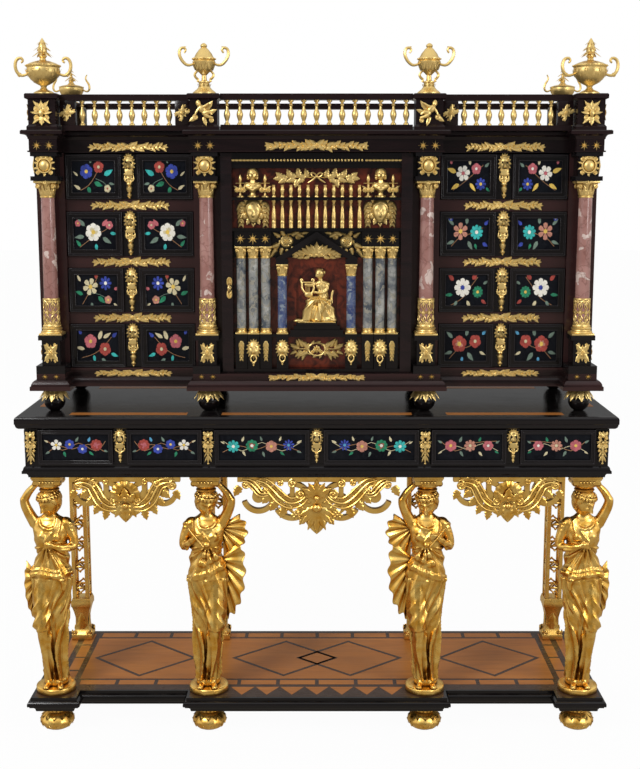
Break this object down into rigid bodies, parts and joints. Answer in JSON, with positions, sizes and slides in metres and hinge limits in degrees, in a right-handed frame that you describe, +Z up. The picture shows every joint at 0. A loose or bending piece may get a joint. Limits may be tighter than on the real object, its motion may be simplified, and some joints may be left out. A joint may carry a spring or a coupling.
{
  "type": "cabinet on stand",
  "caption": "Two-part collector's cabinet on a caryatid stand: inlaid stone drawer fronts, a portico door, marble columns and a gilt gallery.",
  "frame": {"origin": "on the floor, under the middle of the table top", "axes": "+Z up, +X to the right of a person who faces the front, the front faces -Y"},
  "size_m": [1.8258, 0.6, 2.1142],
  "materials": {
    "gilt_bronze": "satin",
    "ebonised_wood": "gloss",
    "rosewood": "gloss",
    "parquetry": "gloss",
    "inlaid_stone": "polished",
    "red_marble": "polished",
    "grey_marble": "polished",
    "gilt_wood": "satin",
    "brass": "satin"
  },
  "bodies": {
    "cabinet": {"stand_feet": "gilt_wood", "platform": "parquetry", "caryatid_outer_left": "gilt_wood", "caryatid_inner_left": "gilt_wood", "caryatid_inner_right": "gilt_wood", "caryatid_outer_right": "gilt_wood", "rear_pilasters": "gilt_wood", "stand_aprons": "gilt_wood", "stand_frame": "ebonised_wood", "stand_top": "ebonised_wood", "cabinet_feet": "ebonised_wood", "cabinet_plinth": "rosewood", "cabinet_case": "rosewood", "column_pedestals": "ebonised_wood", "column_shafts": "red_marble", "column_mounts": "gilt_bronze", "cabinet_entablature": "rosewood", "gallery_frame": "ebonised_wood", "gallery_balusters": "gilt_bronze", "urns": "gilt_bronze", "door_pivots": "brass"},
    "drawer_left_1": {"drawer_left_1": "ebonised_wood", "drawer_left_1_stones": "inlaid_stone"},
    "drawer_left_1_pull": {"drawer_left_1_drop": "gilt_bronze"},
    "drawer_left_2": {"drawer_left_2": "ebonised_wood", "drawer_left_2_stones": "inlaid_stone"},
    "drawer_left_2_pull": {"drawer_left_2_drop": "gilt_bronze"},
    "drawer_left_3": {"drawer_left_3": "ebonised_wood", "drawer_left_3_stones": "inlaid_stone"},
    "drawer_left_3_pull": {"drawer_left_3_drop": "gilt_bronze"},
    "drawer_left_4": {"drawer_left_4": "ebonised_wood", "drawer_left_4_stones": "inlaid_stone"},
    "drawer_left_4_pull": {"drawer_left_4_drop": "gilt_bronze"},
    "drawer_right_1": {"drawer_right_1": "ebonised_wood", "drawer_right_1_stones": "inlaid_stone"},
    "drawer_right_1_pull": {"drawer_right_1_drop": "gilt_bronze"},
    "drawer_right_2": {"drawer_right_2": "ebonised_wood", "drawer_right_2_stones": "inlaid_stone"},
    "drawer_right_2_pull": {"drawer_right_2_drop": "gilt_bronze"},
    "drawer_right_3": {"drawer_right_3": "ebonised_wood", "drawer_right_3_stones": "inlaid_stone"},
    "drawer_right_3_pull": {"drawer_right_3_drop": "gilt_bronze"},
    "drawer_right_4": {"drawer_right_4": "ebonised_wood", "drawer_right_4_stones": "inlaid_stone"},
    "drawer_right_4_pull": {"drawer_right_4_drop": "gilt_bronze"},
    "stand_drawer_left": {"stand_drawer_left": "ebonised_wood", "stand_drawer_left_stones": "inlaid_stone"},
    "stand_drawer_left_pull": {"stand_drawer_left_drop": "gilt_bronze"},
    "stand_drawer_centre": {"stand_drawer_centre": "ebonised_wood", "stand_drawer_centre_stones": "inlaid_stone"},
    "stand_drawer_centre_pull": {"stand_drawer_centre_drop": "gilt_bronze"},
    "stand_drawer_right": {"stand_drawer_right": "ebonised_wood", "stand_drawer_right_stones": "inlaid_stone"},
    "stand_drawer_right_pull": {"stand_drawer_right_drop": "gilt_bronze"},
    "door": {"door_leaf": "rosewood", "door_columns": "grey_marble", "door_gilt": "gilt_bronze", "door_figure": "gilt_bronze"},
    "key": {"door_key": "brass"},
    "bolt": {"lock_bolt": "brass"}
  },
  "joints": [
    {"name": "drawer_left_1_slide", "type": "slide", "parent": "cabinet", "child": "drawer_left_1", "axis": [0, -1, 0], "range_m": [0, 0.28]},
    {"name": "drawer_left_1_pull_swing", "type": "hinge", "parent": "drawer_left_1", "child": "drawer_left_1_pull", "pos_m": [-0.566, -0.128, 1.72304], "axis": [-1, 0, 0], "range_deg": [0, 70]},
    {"name": "drawer_left_2_slide", "type": "slide", "parent": "cabinet", "child": "drawer_left_2", "axis": [0, -1, 0], "range_m": [0, 0.28]},
    {"name": "drawer_left_2_pull_swing", "type": "hinge", "parent": "drawer_left_2", "child": "drawer_left_2_pull", "pos_m": [-0.566, -0.128, 1.55204], "axis": [-1, 0, 0], "range_deg": [0, 70]},
    {"name": "drawer_left_3_slide", "type": "slide", "parent": "cabinet", "child": "drawer_left_3", "axis": [0, -1, 0], "range_m": [0, 0.28]},
    {"name": "drawer_left_3_pull_swing", "type": "hinge", "parent": "drawer_left_3", "child": "drawer_left_3_pull", "pos_m": [-0.566, -0.128, 1.38104], "axis": [-1, 0, 0], "range_deg": [0, 70]},
    {"name": "drawer_left_4_slide", "type": "slide", "parent": "cabinet", "child": "drawer_left_4", "axis": [0, -1, 0], "range_m": [0, 0.28]},
    {"name": "drawer_left_4_pull_swing", "type": "hinge", "parent": "drawer_left_4", "child": "drawer_left_4_pull", "pos_m": [-0.566, -0.128, 1.21004], "axis": [-1, 0, 0], "range_deg": [0, 70]},
    {"name": "drawer_right_1_slide", "type": "slide", "parent": "cabinet", "child": "drawer_right_1", "axis": [0, -1, 0], "range_m": [0, 0.28]},
    {"name": "drawer_right_1_pull_swing", "type": "hinge", "parent": "drawer_right_1", "child": "drawer_right_1_pull", "pos_m": [0.566, -0.128, 1.72304], "axis": [-1, 0, 0], "range_deg": [0, 70]},
    {"name": "drawer_right_2_slide", "type": "slide", "parent": "cabinet", "child": "drawer_right_2", "axis": [0, -1, 0], "range_m": [0, 0.28]},
    {"name": "drawer_right_2_pull_swing", "type": "hinge", "parent": "drawer_right_2", "child": "drawer_right_2_pull", "pos_m": [0.566, -0.128, 1.55204], "axis": [-1, 0, 0], "range_deg": [0, 70]},
    {"name": "drawer_right_3_slide", "type": "slide", "parent": "cabinet", "child": "drawer_right_3", "axis": [0, -1, 0], "range_m": [0, 0.28]},
    {"name": "drawer_right_3_pull_swing", "type": "hinge", "parent": "drawer_right_3", "child": "drawer_right_3_pull", "pos_m": [0.566, -0.128, 1.38104], "axis": [-1, 0, 0], "range_deg": [0, 70]},
    {"name": "drawer_right_4_slide", "type": "slide", "parent": "cabinet", "child": "drawer_right_4", "axis": [0, -1, 0], "range_m": [0, 0.28]},
    {"name": "drawer_right_4_pull_swing", "type": "hinge", "parent": "drawer_right_4", "child": "drawer_right_4_pull", "pos_m": [0.566, -0.128, 1.21004], "axis": [-1, 0, 0], "range_deg": [0, 70]},
    {"name": "stand_drawer_left_slide", "type": "slide", "parent": "cabinet", "child": "stand_drawer_left", "axis": [0, -1, 0], "range_m": [0, 0.33]},
    {"name": "stand_drawer_left_pull_swing", "type": "hinge", "parent": "stand_drawer_left", "child": "stand_drawer_left_pull", "pos_m": [-0.58875, -0.284, 0.91812], "axis": [-1, 0, 0], "range_deg": [0, 70]},
    {"name": "stand_drawer_centre_slide", "type": "slide", "parent": "cabinet", "child": "stand_drawer_centre", "axis": [0, -1, 0], "range_m": [0, 0.33]},
    {"name": "stand_drawer_centre_pull_swing", "type": "hinge", "parent": "stand_drawer_centre", "child": "stand_drawer_centre_pull", "pos_m": [0, -0.284, 0.91812], "axis": [-1, 0, 0], "range_deg": [0, 70]},
    {"name": "stand_drawer_right_slide", "type": "slide", "parent": "cabinet", "child": "stand_drawer_right", "axis": [0, -1, 0], "range_m": [0, 0.33]},
    {"name": "stand_drawer_right_pull_swing", "type": "hinge", "parent": "stand_drawer_right", "child": "stand_drawer_right_pull", "pos_m": [0.58875, -0.284, 0.91812], "axis": [-1, 0, 0], "range_deg": [0, 70]},
    {"name": "door_hinge", "type": "hinge", "parent": "cabinet", "child": "door", "pos_m": [0.277, -0.187, 1.129], "axis": [0, 0, 1], "range_deg": [0, 90]},
    {"name": "key_turn", "type": "hinge", "parent": "door", "child": "key", "pos_m": [-0.262, -0.195, 1.386], "axis": [0, 1, 0], "range_deg": [0, 90]},
    {"name": "bolt_throw", "type": "slide", "parent": "door", "child": "bolt", "axis": [-1, 0, 0], "range_m": [0, 0.008]}
  ],
  "couplings": [
    {"joint": "key_turn", "follows": "bolt_throw", "rad_per_m": 190}
  ]
}
